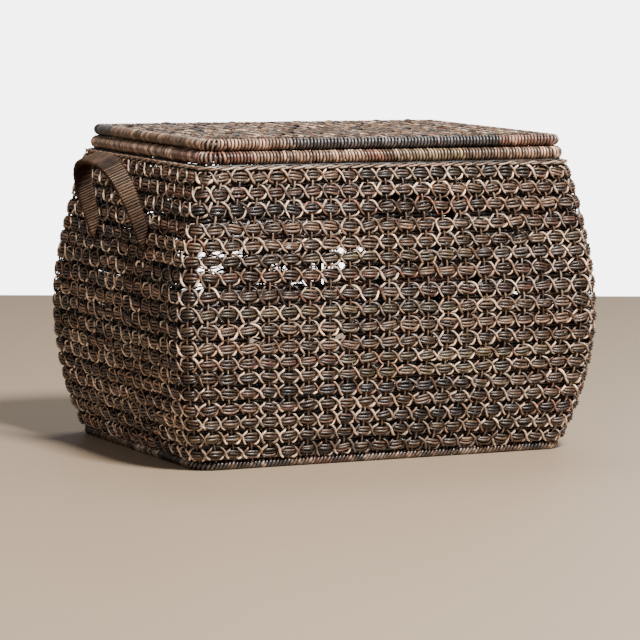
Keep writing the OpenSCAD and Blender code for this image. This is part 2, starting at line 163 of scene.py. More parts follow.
class Piece:
    """Gathers tubes and turns them into one mesh with colour, fibre coordinates and a strip layout for baking."""

    def __init__(self, name):
        self.name, self.parts, self.strips, self.nv = name, [], [], 0

    def tube(self, path, ref, ra, rb=None, sides=6, closed=False, col=(0.2, 0.13, 0.09), seed=0, twist=0.0, painted_light=None, strip=380.0, caps=True, phase=0.0, back_shade=0.55):
        """One strand. ref points away from the wall, ra is the radius along ref and rb the one across it."""
        path = np.asarray(path, float)
        n = len(path)
        if closed:
            tan = np.roll(path, -1, 0) - np.roll(path, 1, 0)
            seg = np.linalg.norm(np.roll(path, -1, 0) - path, axis=1)
            s = np.concatenate([[0], np.cumsum(seg)])
        else:
            tan = np.gradient(path, axis=0)
            seg = np.linalg.norm(np.diff(path, axis=0), axis=1)
            s = np.concatenate([[0], np.cumsum(seg)])
        tan = unit(tan)
        ref = np.broadcast_to(np.asarray(ref, float), path.shape)
        a = unit(ref - (ref * tan).sum(1, keepdims=True) * tan)
        b = np.cross(tan, a)
        ra = np.broadcast_to(np.asarray(ra, float), (n,))
        rb = ra if rb is None else np.broadcast_to(np.asarray(rb, float), (n,))
        th = 2 * np.pi * (np.arange(sides) + phase) / sides
        c, si = np.cos(th), np.sin(th)
        v = path[:, None] + (ra[:, None] * c)[..., None] * a[:, None] + (rb[:, None] * si)[..., None] * b[:, None]
        col = np.broadcast_to(np.asarray(col, float), (n, 3))
        if painted_light is None:
            painted_light = np.ones(n)
        painted_light = np.broadcast_to(np.asarray(painted_light, float), (n,))
        rr = (ra + rb) / 2
        ang = th[None, :] + twist * s[:n, None]
        off = (seed * 37.77) % 811.0
        fib = np.stack([np.broadcast_to((s[:n] + off * 13.0)[:, None], (n, sides)), rr[:, None] * np.cos(ang) + off, rr[:, None] * np.sin(ang) + off * 0.61], -1)
        rings = n if closed else n - 1
        i = np.arange(rings)[:, None]
        j = np.arange(sides)[None, :]
        i2, j2 = (i + 1) % n, (j + 1) % sides
        q = np.stack([i * sides + j, i2 * sides + j, i2 * sides + j2, i * sides + j2], -1).reshape(-1, 4) + self.nv
        q = q[:, ::-1]
        # strip layout
        total = s[-1]
        k = max(1, int(round(total / strip)))
        cut = np.linspace(0, total, k + 1)
        mids = (s[:-1] + s[1:]) / 2 if closed else (s[:-1] + s[1:]) / 2
        which = np.clip(np.searchsorted(cut, mids, side="right") - 1, 0, k - 1)
        base = len(self.strips)
        self.strips += [cut[m + 1] - cut[m] for m in range(k)]
        u0 = (s[:-1] - cut[which]) / (total / k)
        u1 = (s[1:] - cut[which]) / (total / k)
        w = (which + base)[:, None]
        U0, U1 = np.broadcast_to(u0[:, None], (rings, sides)), np.broadcast_to(u1[:, None], (rings, sides))
        V0, V1 = np.broadcast_to(j / sides, (rings, sides)), np.broadcast_to((j + 1) / sides, (rings, sides))
        W = np.broadcast_to(w, (rings, sides))
        uv = np.stack([np.stack([U0, V0], -1), np.stack([U1, V0], -1), np.stack([U1, V1], -1), np.stack([U0, V1], -1)], 2)[:, :, ::-1].reshape(-1, 4, 2)
        tri, tuv, twh = np.zeros((0, 3), int), np.zeros((0, 3, 2)), np.zeros(0, int)
        if not closed and caps:
            e = (n - 1) * sides + self.nv
            ks = np.arange(1, sides - 1)
            f0 = np.stack([np.zeros_like(ks), ks + 1, ks], -1) + self.nv
            f1 = np.stack([np.zeros_like(ks), ks, ks + 1], -1) + e
            f0, f1 = f0[:, ::-1], f1[:, ::-1]
            tri = np.concatenate([f0, f1])
            tuv = np.zeros((len(tri), 3, 2)); tuv[len(f0):, :, 0] = 1.0
            tuv[:, :, 1] = np.array([0.2, 0.5, 0.8])
            twh = np.concatenate([np.full(len(f0), base), np.full(len(f1), base + k - 1)])
        # painted shade: the colour is scaled down where a strand runs into a recess, and the side turned away from ref
        # is darkened
        lit = painted_light[:, None] * (1 - back_shade * (0.5 - 0.5 * c)[None, :] ** 0.8)
        self.parts.append(dict(v=v.reshape(-1, 3), q=q, t=tri, uv=uv, wh=W.reshape(-1), tuv=tuv, twh=twh,
                               col=np.repeat(col, sides, 0), fib=fib.reshape(-1, 3), painted_light=lit.reshape(-1)))
        self.nv += n * sides

    def make(self, material, body, slot, replaces=(), floor=None):
        P = self.parts
        v = np.concatenate([p["v"] for p in P]) * MM
        if floor is not None:
            v[:, 2] = np.maximum(v[:, 2], floor)
        q = np.concatenate([p["q"] for p in P])
        t = np.concatenate([p["t"] for p in P])
        K = len(self.strips)
        cols = 1
        while K / cols > 68:  # short strands: several columns of strips
            cols += 1
        rows = math.ceil(K / cols)

        def place(uv, wh):
            c, r = (wh // rows)[:, None], (wh % rows)[:, None]
            return np.stack([(c + 0.004 * cols + (1 - 0.008 * cols) * uv[..., 0]) / cols, (r + 0.12 + 0.76 * uv[..., 1]) / rows], -1)

        uv = np.concatenate([place(np.concatenate([p["uv"] for p in P]), np.concatenate([p["wh"] for p in P])).reshape(-1, 2),
                             place(np.concatenate([p["tuv"] for p in P]), np.concatenate([p["twh"] for p in P])).reshape(-1, 2)])
        me = bpy.data.meshes.new(self.name)
        me.vertices.add(len(v))
        me.vertices.foreach_set("co", v.astype(np.float32).ravel())
        loops = np.concatenate([q.ravel(), t.ravel()])
        me.loops.add(len(loops))
        me.loops.foreach_set("vertex_index", loops.astype(np.int32))
        me.polygons.add(len(q) + len(t))
        start = np.concatenate([np.arange(len(q)) * 4, len(q) * 4 + np.arange(len(t)) * 3])
        me.polygons.foreach_set("loop_start", start.astype(np.int32))
        me.update(calc_edges=True)
        me.validate()
        me.polygons.foreach_set("use_smooth", np.ones(len(me.polygons), bool))
        lay = me.uv_layers.new(name="OFBake")
        if len(lay.data) == len(uv):
            lay.data.foreach_set("uv", uv.astype(np.float32).ravel())
        a = me.attributes.new("tint", "FLOAT_COLOR", "POINT")
        c4 = np.ones((len(v), 4), np.float32)
        c4[:, :3] = np.concatenate([p["col"] for p in P])
        a.data.foreach_set("color", c4.ravel())
        a = me.attributes.new("fib", "FLOAT_VECTOR", "POINT")
        a.data.foreach_set("vector", np.concatenate([p["fib"] for p in P]).astype(np.float32).ravel())
        a = me.attributes.new("painted_light", "FLOAT", "POINT")
        a.data.foreach_set("value", np.concatenate([p["painted_light"] for p in P]).astype(np.float32))
        ob = bpy.data.objects.new(self.name, me)
        bpy.context.scene.collection.objects.link(ob)
        me.materials.append(material)
        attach(ob, body)
        if replaces:
            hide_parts(*replaces)
        return ob


# --------------------------------------------------------------------------
# materials
# --------------------------------------------------------------------------
def new_material(name):
    m = bpy.data.materials.new(name)
    m.use_nodes = True
    m.node_tree.nodes.clear()
    return m, m.node_tree.nodes, m.node_tree.links


def fibre_material(name, rough=0.42, gain=1.0, streak=(0.055, 1.7, 1.7), bump=0.35, spec=0.5, low=0.5, high=1.35):
    """Dried plant strand: a per-strand tint with streaks along the fibres, with painted shade that darkens it in the
    recesses and on the back of each strand.
    """
    m, N, L = new_material(name)
    out = N.new("ShaderNodeOutputMaterial")
    b = N.new("ShaderNodeBsdfPrincipled")
    L.new(b.outputs[0], out.inputs[0])
    tint = N.new("ShaderNodeAttribute"); tint.attribute_name = "tint"
    fib = N.new("ShaderNodeAttribute"); fib.attribute_name = "fib"
    painted_light_attr = N.new("ShaderNodeAttribute"); painted_light_attr.attribute_name = "painted_light"
    mp = N.new("ShaderNodeVectorMath"); mp.operation = "MULTIPLY"
    mp.inputs[1].default_value = streak
    L.new(fib.outputs["Vector"], mp.inputs[0])
    n1 = N.new("ShaderNodeTexNoise"); n1.inputs["Scale"].default_value = 1.0
    n1.inputs["Detail"].default_value = 3.0; n1.inputs["Roughness"].default_value = 0.62
    L.new(mp.outputs[0], n1.inputs["Vector"])
    r1 = N.new("ShaderNodeMapRange"); r1.inputs["From Min"].default_value = 0.3; r1.inputs["From Max"].default_value = 0.7
    r1.inputs["To Min"].default_value = low * gain; r1.inputs["To Max"].default_value = high * gain
    L.new(n1.outputs["Fac"], r1.inputs["Value"])
    # slower blotches along the strand
    mp2 = N.new("ShaderNodeVectorMath"); mp2.operation = "MULTIPLY"; mp2.inputs[1].default_value = (0.11, 0.35, 0.35)
    L.new(fib.outputs["Vector"], mp2.inputs[0])
    n2 = N.new("ShaderNodeTexNoise"); n2.inputs["Scale"].default_value = 1.0; n2.inputs["Detail"].default_value = 2.0
    L.new(mp2.outputs[0], n2.inputs["Vector"])
    r2 = N.new("ShaderNodeMapRange"); r2.inputs["From Min"].default_value = 0.32; r2.inputs["From Max"].default_value = 0.68
    r2.inputs["To Min"].default_value = 0.5; r2.inputs["To Max"].default_value = 1.5
    L.new(n2.outputs["Fac"], r2.inputs["Value"])
    mul = N.new("ShaderNodeMath"); mul.operation = "MULTIPLY"
    L.new(r1.outputs[0], mul.inputs[0]); L.new(r2.outputs[0], mul.inputs[1])
    # painted shade: the per-vertex shade level scales the colour down to 0.12 in the recesses
    r3 = N.new("ShaderNodeMapRange"); r3.inputs["To Min"].default_value = 0.12; r3.inputs["To Max"].default_value = 1.0
    L.new(painted_light_attr.outputs["Fac"], r3.inputs["Value"])
    mul2 = N.new("ShaderNodeMath"); mul2.operation = "MULTIPLY"
    L.new(mul.outputs[0], mul2.inputs[0]); L.new(r3.outputs[0], mul2.inputs[1])
    cm = N.new("ShaderNodeVectorMath"); cm.operation = "SCALE"
    L.new(tint.outputs["Color"], cm.inputs[0]); L.new(mul2.outputs[0], cm.inputs["Scale"])
    L.new(cm.outputs[0], b.inputs["Base Color"])
    rr = N.new("ShaderNodeMapRange"); rr.inputs["From Min"].default_value = 0.3; rr.inputs["From Max"].default_value = 0.7
    rr.inputs["To Min"].default_value = rough + 0.12; rr.inputs["To Max"].default_value = rough - 0.08
    L.new(n1.outputs["Fac"], rr.inputs["Value"]); L.new(rr.outputs[0], b.inputs["Roughness"])
    b.inputs["Specular IOR Level"].default_value = spec
    bp = N.new("ShaderNodeBump"); bp.inputs["Strength"].default_value = bump; bp.inputs["Distance"].default_value = 0.0006
    L.new(n1.outputs["Fac"], bp.inputs["Height"]); L.new(bp.outputs[0], b.inputs["Normal"])
    return m


def steel_material(name, base, rough, metallic, spot=(0.10, 0.06, 0.04)):
    m, N, L = new_material(name)
    out = N.new("ShaderNodeOutputMaterial")
    b = N.new("ShaderNodeBsdfPrincipled")
    L.new(b.outputs[0], out.inputs[0])
    tc = N.new("ShaderNodeTexCoord")
    n1 = N.new("ShaderNodeTexNoise"); n1.inputs["Scale"].default_value = 90.0; n1.inputs["Detail"].default_value = 4.0
    L.new(tc.outputs["Object"], n1.inputs["Vector"])
    cr = N.new("ShaderNodeValToRGB")
    cr.color_ramp.elements[0].position, cr.color_ramp.elements[0].color = 0.42, (*base, 1)
    cr.color_ramp.elements[1].position, cr.color_ramp.elements[1].color = 0.75, (*spot, 1)
    L.new(n1.outputs["Fac"], cr.inputs["Fac"]); L.new(cr.outputs["Color"], b.inputs["Base Color"])
    b.inputs["Metallic"].default_value = metallic
    rr = N.new("ShaderNodeMapRange"); rr.inputs["To Min"].default_value = rough - 0.1; rr.inputs["To Max"].default_value = rough + 0.15
    L.new(n1.outputs["Fac"], rr.inputs["Value"]); L.new(rr.outputs[0], b.inputs["Roughness"])
    bp = N.new("ShaderNodeBump"); bp.inputs["Strength"].default_value = 0.2; bp.inputs["Distance"].default_value = 0.0003
    L.new(n1.outputs["Fac"], bp.inputs["Height"]); L.new(bp.outputs[0], b.inputs["Normal"])
    return m


M_WEAVE = fibre_material("weave_strands", rough=0.34, gain=0.27, low=0.05, high=2.9, spec=0.65)
M_WHIP = fibre_material("whipped_strands", rough=0.34, gain=0.45, streak=(0.05, 1.9, 1.9), low=0.1, high=2.4, spec=0.9)
M_LID = fibre_material("lid_strands", rough=0.55, spec=0.25, gain=0.27, low=0.05, high=2.3)
M_HANDLE = fibre_material("handle_strands", rough=0.5, gain=0.135, streak=(0.06, 1.5, 1.5), low=0.35, high=1.5, spec=0.12)
M_CANE = steel_material("handle_cane", (0.30, 0.19, 0.10), 0.55, 0.0, (0.10, 0.06, 0.035))
M_STEEL = steel_material("frame_steel", (0.030, 0.028, 0.027), 0.45, 0.0)
M_HINGE = steel_material("hinge_steel", (0.20, 0.185, 0.17), 0.38, 1.0, (0.10, 0.07, 0.05))

# strand colours, linear
TAN = (0.32, 0.190, 0.122)
CREAM = (0.62, 0.452, 0.330)
BROWN = (0.150, 0.085, 0.052)
DARK = (0.055, 0.033, 0.024)
RED = (0.215, 0.095, 0.062)
OLIVE = (0.225, 0.166, 0.092)
CHAR = (0.050, 0.046, 0.050)
GREY = (0.185, 0.146, 0.130)


def zones(rng, n, palette, weights, lo, hi, soft=0.0):
    """Piecewise colour along n cells: a new strand is spliced in every few cells."""
    out = np.zeros((n, 3))
    i = 0
    pal = np.array(palette)
    w = np.array(weights, float) / sum(weights)
    while i < n:
        k = rng.integers(lo, hi + 1)
        c = pal[rng.choice(len(pal), p=w)] * rng.uniform(0.8, 1.2)
        out[i:i + k] = c
        i += k
    return out


# --------------------------------------------------------------------------
# the twined walls
# --------------------------------------------------------------------------
BT = np.array([-.5, -.455, -.405, -.35, -.27, -.14, 0., .14, .27, .35, .405, .455])   # bundle samples in a cell
IT = np.array([-.5, -.42, -.3, -.1, .1, .3, .42])                                          # inner bundle
RT = np.array([-.5, -.475, -.43, -.37, -.30, -.22, -.13, 0., .13, .22, .30, .37, .43, .475])  # ring samples
LT = np.array([-.5, -.35, -.17, 0., .17, .35])


def cell_grid(ts, n):
    k = np.arange(n)
    return (k[:, None] + ts[None]).ravel(), np.repeat(k, len(ts)), np.tile(ts, n)


def vary(rng, n, sigma):
    """Brightness of a strand from cell to cell."""
    return np.clip(np.exp(rng.normal(0, sigma, (n, 1))), 0.45, 2.0)


def noise_1d(rng, n, period, amp):
    """Smooth closed noise over n cells."""
    m = max(3, int(round(n / period)))
    y = rng.normal(0, amp, m)
    x = np.arange(n) * m / n
    i = np.floor(x).astype(int)
    f = x - i
    f = f * f * (3 - 2 * f)
    return y[i % m] * (1 - f) + y[(i + 1) % m] * f


ROW_Z, ROW_GAP, ROW_SIZE = arc_rows()
STRANDS, SPREAD, SR = 3, 4.15, 1.78


def wall_point(u, zc, dz, d):
    P, Nn, T = surface(u, zc)
    return P + T * dz[:, None] + Nn * d[:, None], Nn


def bundle_shape(rng, n, step, k, t, j, cells):
    c = (STRANDS - 1) / 2
    E = 1 - np.abs(2 * t) ** 3.0
    D = 1 - np.abs(2 * t) ** 2.4
    jz = rng.normal(0, 0.33, n)[k]
    jd = rng.normal(0, 0.40, n)[k]
    pz = (j - c) * 0.95
    pd = -9.0 - (1.2 if j % 2 else 0.0)
    z = pz * (1 - E) + (cells["z"][k] + (j - c) * SPREAD * cells["h"][k] + cells["tilt"][k] * t * step * 1.2 + jz) * E
    bow = -0.80 * (j - c) ** 2
    d = pd * (1 - D) + (cells["d"][k] + bow + jd) * D
    return z, d, E


def inner_shape(rng, n, k, t, j):
    E = 1 - np.abs(2 * t) ** 2.6
    z = (j - 1) * (1.6 * (1 - E) + 4.2 * E) + rng.normal(0, 0.4, n)[k] * E
    d = -9.6 * (1 - E) + (-14.2 + 0.5 * (j - 1) ** 2 + rng.normal(0, 0.3, n)[k]) * E
    return z, d


def ring_shape(rng, n, step, k, t, s, cells, wrap):
    """One of the two strands that cross between the beads and pass behind every stake."""
    alt = np.where(k % 2 == 0, 1.0, -1.0)
    cz = np.clip(np.cos(np.pi * t), 0, 1)
    sg = s * alt
    amp = np.where(sg > 0, cells["a"][k], cells["b"][k]) * (step * 0.44)
    z = sg * amp * np.sin(np.pi / 2 * np.clip((0.5 - np.abs(t)) / 0.36, 0, 1)) ** 0.75 + cells["z"][k] * cz * 0.6
    near = np.clip((0.31 - np.abs(t)) / 0.15, 0, 1)
    near = near * near * (3 - 2 * near)
    cross = np.clip(1 - (0.5 - np.abs(t)) / 0.16, 0, 1)
    side = np.where(t >= 0, k, k - 1)
    slip = rng.normal(0, 0.9, n)
    z = z + 1.25 * slip[side % n] * np.clip(1 - (0.5 - np.abs(t)) / 0.30, 0, 1)
    over = np.where((side % 2 == 0) == (s > 0), 1.0, 0.0)
    d = -2.9 - 5.3 * near + cross * (over * 2.9 - 1.8) + rng.normal(0, 0.5, n)[k] * cz
    return z, d, near


def bead_cells(rng, n):
    return dict(z=rng.normal(0, 0.6, n), h=np.clip(rng.normal(1, 0.08, n), 0.8, 1.15), d=-1.75 + rng.normal(0, 0.5, n),
                tilt=rng.normal(0, 0.10, n), a=np.clip(rng.normal(0.97, 0.15, n), 0.62, 1.18), b=np.clip(rng.normal(0.97, 0.15, n), 0.62, 1.18),
                x=rng.normal(0, 0.045, n))


ROW_MIX = [  # how each row leans in colour, bottom to top: weights of tan, brown, red, olive, charcoal, grey
    (3, 4, 2, 1, 1, 1), (3, 4, 3, 2, 1, 1), (2, 4, 3, 1, 4, 1), (2, 3, 2, 1, 5, 1), (3, 4, 4, 1, 2, 1), (4, 4, 2, 2, 1, 1),
    (2, 4, 3, 1, 4, 1), (4, 4, 3, 3, 1, 1), (5, 3, 3, 2, 1, 2), (4, 4, 2, 3, 1, 1), (2, 3, 1, 1, 6, 2), (4, 4, 4, 2, 2, 1),
    (3, 4, 2, 2, 2, 1), (4, 4, 4, 1, 1, 1), (4, 4, 4, 1, 1, 1), (2, 4, 2, 2, 4, 2), (4, 4, 4, 1, 1, 1), (3, 4, 5, 1, 1, 1)]
PALETTE = (TAN, BROWN, RED, OLIVE, CHAR, GREY)


# gaps left open where the weave is loose: row below the gap -> columns
OPEN = {16: (0, 2, 5), 15: (9, 10, 11, 13, 68), 14: (13, 66), 13: (69,), 12: (0, 1, 2, 7, 8, 9, 70), 11: (0, 1, 4, 6, 7, 9), 10: (71, 0, 5, 6, 9, 14),
        9: (12, 16), 7: (3, 7), 6: (0, 3, 68), 5: (2, 3), 4: (3, 7), 2: (6,)}


def open_cells(r):
    """Which gaps above row r are open, column by column. The back has a loosely woven patch."""
    rng = hashrand(12, r)
    o = rng.random(NCOL) < 0.03
    o[0:21] = False
    if 4 <= r <= 16:
        o[40:57] = rng.random(17) < 0.93
    o[list(OPEN.get(r, ()))] = True
    return o


def build_row(r):
    rng = hashrand(1, r)
    zc, step, gap = ROW_Z[r], ROW_SIZE[r], ROW_GAP[r]
    pc = Piece("weave_row_%02d" % (r + 1))
    cells = bead_cells(rng, NCOL)
    cells["z"] = cells["z"] + noise_1d(rng, NCOL, 7, 0.8)
    base = zones(rng, NCOL, PALETTE, ROW_MIX[r], 3, 11)
    # the bundle that makes the beads
    u, k, t = cell_grid(BT, NCOL)
    for j in range(STRANDS):
        z, d, E = bundle_shape(rng, NCOL, step, k, t, j, cells)
        own = zones(rng, NCOL, PALETTE, ROW_MIX[r], 2, 7)
        mixw = rng.uniform(0.1, 0.5, NCOL)[:, None]
        col = (base * (1 - mixw) + own * mixw) * vary(rng, NCOL, 0.80) * 0.74
        # painted light: the bead strands on the left face (the last N_SHORT columns) are made 1.6 times lighter
        col[NCOL - N_SHORT:] *= 1.6
        path, nn = wall_point(u + cells["x"][k] * E, zc, z, d)
        # painted shade: each bead strand darkens towards the pinch at both ends of its bead, and on its back side
        pc.tube(path, nn, SR * (0.82 + 0.18 * E), sides=6, closed=True, col=col[k], seed=rng.integers(1, 900), twist=0.2,
                painted_light=np.clip((0.455 - np.abs(t)) / 0.15, 0, 1), back_shade=0.85)
    # the same on the inside
    u, k, t = cell_grid(IT, NCOL)
    for j in range(3):
        z, d = inner_shape(rng, NCOL, k, t, j)
        own = zones(rng, NCOL, PALETTE, ROW_MIX[r], 2, 7) * vary(rng, NCOL, 0.25)
        path, nn = wall_point(u, zc, z, d)
        # painted shade: the inside bundle is dimmed to 0.8
        pc.tube(path, -nn, 2.1, sides=5, closed=True, col=own[k] * 0.7, seed=rng.integers(1, 900), twist=0.2, painted_light=0.8)
    # the twined pair that rings every bead
    u, k, t = cell_grid(RT, NCOL)
    for s in (1, -1):
        col = zones(rng, NCOL, (CREAM, TAN, BROWN, GREY, RED, DARK), (7.5, 3, 1.4, 1.2, 0.4, 0.8), 1, 4) * vary(rng, NCOL, 0.42) * 2.15
        col[NCOL - N_SHORT:] *= 1.0
        z, d, near = ring_shape(rng, NCOL, step, k, t, s, cells, True)
        shift = rng.normal(0, 0.035, NCOL)
        at = np.where(t >= 0, k, k - 1) % NCOL
        path, nn = wall_point(u + shift[at] * np.clip(1 - (0.5 - np.abs(t)) / 0.3, 0, 1), zc, z, d)
        # painted shade: each ring strand darkens where it passes behind the bead and its stake, and on its back side
        pc.tube(path, nn, 1.36 * (1 - 0.16 * near) * np.clip(rng.normal(1, 0.16, NCOL), 0.65, 1.4)[k], sides=6, closed=True, col=col[k], seed=rng.integers(1, 900), twist=0.3, painted_light=np.clip(1.0 - 0.8 * near, 0, 1))
    # two dark strands that fill the gap to the next row, or hide behind the beads where the weave is loose
    if r < NROWS - 1:
        u, k, t = cell_grid(np.array([-.5, -.36, -.2, 0., .2, .36]), NCOL)
        loose = open_cells(r)
        w = 1 - loose[k] * (1 - np.abs(2 * t) ** 4)
        for s in (-1, 0, 1):
            mid = gap * 0.5 + s * (gap * 0.5 - 6.5) + rng.normal(0, 0.3, NCOL)[k]
            hid = gap * 0.5 + (s if s else 1) * (gap * 0.5 - 2.0)
            z = mid * w + hid * (1 - w)
            # painted shade: these strands close the gaps, and their dark colours and dimming to 0.6 paint the shade
            # inside the trunk
            own = zones(rng, NCOL, (BROWN, DARK, CHAR, RED), (4, 4, 2, 1), 3, 9) * vary(rng, NCOL, 0.25)
            path, nn = wall_point(u + 0.5, zc, z, -12.4 + 0.7 * np.sin(np.pi * (u + 0.5) + s * math.pi))
            pc.tube(path, nn, gap * 0.124, sides=5, closed=True, col=own[k], seed=rng.integers(1, 900), twist=0.2, painted_light=0.6)
    # loose lacing that runs behind the beads and now and then climbs to the next row
    if r < NROWS - 1:
        u, k, t = cell_grid(LT, NCOL)
        for s in (1, -1):
            jump = (rng.random(NCOL) < 0.35) & ~loose & ~np.roll(loose, 1)
            own = zones(rng, NCOL, (BROWN, DARK, TAN, CHAR), (4, 3, 1.2, 2), 2, 6)
            up_now = np.cumsum(jump) % 2 == 1
            z = np.where(jump[k], gap * 0.5 + np.where(up_now[k], -1, 1) * gap * 0.5 * np.cos(np.pi * (t + 0.5)), np.where(up_now[k], gap, 0.0)) + rng.normal(0, 0.8, NCOL)[k] * np.cos(np.pi * t)
            if up_now[-1]:
                z[k == NCOL - 1] = (gap * 0.5 + gap * 0.5 * np.cos(np.pi * (t[k == NCOL - 1] + 0.5)))
            path, nn = wall_point(u + 0.5 * (s > 0), zc, z, -10.6 - 0.9 * s + 0.0 * t)
            # painted shade: the lacing behind the beads is dimmed to 0.7
            pc.tube(path, nn, 1.3, sides=5, closed=True, col=own[k], seed=rng.integers(1, 900), twist=0.3, painted_light=0.7)
    return pc


walls = ("wall_front", "wall_back", "wall_left", "wall_right")
for r in range(NROWS):
    build_row(r).make(M_WEAVE, "trunk", "wicker_weave", walls if r == 0 else ())

# dark strands that fill the wall's edges, under the rim and over the border
pc = Piece("weave_edges")
for i, (z0, d0, rr) in enumerate(((ROW_Z[-1] + 8.2, -10.5, 2.3), (ROW_Z[-1] + 12.0, -10.0, 2.3), (ROW_Z[-1] + 10.0, -5.8, 1.9), (ROW_Z[0] - 7.6, -8.0, 2.2), (ROW_Z[0] - 9.5, -11.5, 2.2), (TWIST_Z + 0.5, -8.5, 2.6), (TWIST_Z + 4.0, -9.0, 2.6), (TWIST_Z + 2.0, -13.0, 3.2))):
    rng = hashrand(10, i)
    u, k, t = cell_grid(np.array([-.5, -.25, 0., .25]), NCOL)
    path, nn = wall_point(u, z0, rng.normal(0, 0.3, NCOL)[k], d0 + 0.6 * np.sin(np.pi * u))
    # painted shade: the three strands under the rim get 0.4 of their colour, and all these dark filler strands are
    # dimmed to 0.8
    col = zones(rng, NCOL, (BROWN, DARK, CHAR, RED), (4, 4, 2, 1), 3, 9) * vary(rng, NCOL, 0.25) * (0.4 if i > 4 else 1.0)
    pc.tube(path, nn, rr, sides=6, closed=True, col=col[k], seed=rng.integers(1, 900), twist=0.2, painted_light=0.8)
pc.make(M_WEAVE, "trunk", "wicker_weave")

# stakes
pc = Piece("weave_stakes")
zs = np.linspace(WALL_Z0 - 4, RIM_Z - 5, 96)
for c in range(NCOL):
    rng = hashrand(2, c)
    ph = np.interp(zs, ROW_Z, np.arange(NROWS))
    ph = np.where(zs < ROW_Z[0], (zs - ROW_Z[0]) / (ROW_Z[1] - ROW_Z[0]), np.where(zs > ROW_Z[-1], NROWS - 1 + (zs - ROW_Z[-1]) / (ROW_Z[-1] - ROW_Z[-2]), ph))
    ph = np.where(zs > ROW_Z[-1], NROWS - 1 + (zs - ROW_Z[-1]) / 21.0, ph)
    P, Nn, T = surface(np.full(len(zs), float(c)) + 0.02 * np.sin(zs * 0.03 + c), zs)
    d = -5.6 - 1.5 * np.cos(2 * np.pi * ph)
    # lean in to the rim rod at the top, and to the base rod at the bottom
    d = d - np.clip((zs - (WALL_Z1 - 2)) / 14, 0, 1) * 7.0 - np.clip((WALL_Z0 + 4 - zs) / 8, 0, 1) * 2.0
    # painted shade: stakes on the left face (the last N_SHORT columns) get 0.55 of their colour, against 1.05 elsewhere
    col = zones(rng, 24, (TAN, CREAM, GREY, BROWN), (4, 3, 1.5, 2), 3, 9) * (0.55 if c >= NCOL - N_SHORT else 1.05)
    # painted shade: a stake darkens where it passes behind a row, down to 0.4 at the row's middle
    pc.tube(P + Nn * d[:, None], Nn, 1.38, sides=6, col=col[np.clip((zs / 18).astype(int), 0, 23)], seed=rng.integers(1, 900), twist=0.1,
            painted_light=0.70 + 0.3 * np.cos(2 * np.pi * (ph + 0.5)))
pc.make(M_WEAVE, "trunk", "wicker_stakes", ("stakes_front", "stakes_back", "stakes_left", "stakes_right"))


# --------------------------------------------------------------------------
# rings: whipped rims and the border
# --------------------------------------------------------------------------
def ring(hx, hy, rc, z, s):
    """Point and outward direction on a rounded rectangle at distance s from the middle of the front, going to +X."""
    a, b = 2 * (hx - rc), 2 * (hy - rc)
    q = rc * math.pi / 2
    total = 2 * (a + b) + 4 * q
    s = np.mod(s, total)
    P, O = np.zeros((len(s), 3)), np.zeros((len(s), 3))
    legs = [((0, -hy), (1, 0), (0, -1), a / 2), ((hx - rc, -(hy - rc)), -90, None, q), ((hx, -(hy - rc)), (0, 1), (1, 0), b),
            ((hx - rc, hy - rc), 0, None, q), ((hx - rc, hy), (-1, 0), (0, 1), a), ((-(hx - rc), hy - rc), 90, None, q),
            ((-hx, hy - rc), (0, -1), (-1, 0), b), ((-(hx - rc), -(hy - rc)), 180, None, q), ((-(hx - rc), -hy), (1, 0), (0, -1), a / 2)]
    at = 0.0
    for o, d, out, ln in legs:
        m = (s >= at) & (s <= at + ln + 1e-9)
        x = s[m] - at
        if out is None:
            f = math.radians(d) + x / rc
            P[m, 0], P[m, 1] = o[0] + rc * np.cos(f), o[1] + rc * np.sin(f)
            O[m, 0], O[m, 1] = np.cos(f), np.sin(f)
        else:
            P[m, 0], P[m, 1] = o[0] + d[0] * x, o[1] + d[1] * x
            O[m, 0], O[m, 1] = out[0], out[1]
        at += ln
    P[:, 2] = z
    return P, O, total


def whip(pc, hx, hy, rc, z, r, pitch, thick, seg, colour, seed, lean=0.0, jitter=0.17, sides=6, wide=0.385):
    """Cord wound round a ring."""
    _, _, total = ring(hx, hy, rc, z, np.zeros(1))
    n = int(round(total / pitch))
    rng = hashrand(3, seed)
    i = np.arange(n * seg)
    th = 2 * np.pi * i / seg
    turn = i // seg
    ease = 0.5 - 0.5 * np.cos(th)
    jt = rng.normal(0, jitter * pitch, n)
    jr = rng.normal(0, 0.22, n)
    slant = lean + noise_1d(rng, n, 26, 0.8) + rng.normal(0, 0.25, n)
    fat = np.clip(rng.normal(1, 0.17, n), 0.65, 1.35)
    s = i * total / (n * seg) + jt[turn] * ease + np.interp(i / seg, np.arange(n), slant) * np.sin(th)
    C, O, _ = ring(hx, hy, rc, z, s)
    rad = O * np.cos(th)[:, None] + np.array([0, 0, 1.0]) * np.sin(th)[:, None]
    path = C + rad * (r - thick / 2 + jr[turn] * ease)[:, None]
    col = colour(s / total, turn, n, rng)
    # painted shade: the inner side of each turn, against the rod, is darkened
    pc.tube(path, rad, thick / 2, pitch * wide * (1 + (fat[turn] - 1) * ease), sides=sides, closed=True, col=col[turn], seed=seed, painted_light=1.0, strip=420.0, back_shade=0.9)
    return n


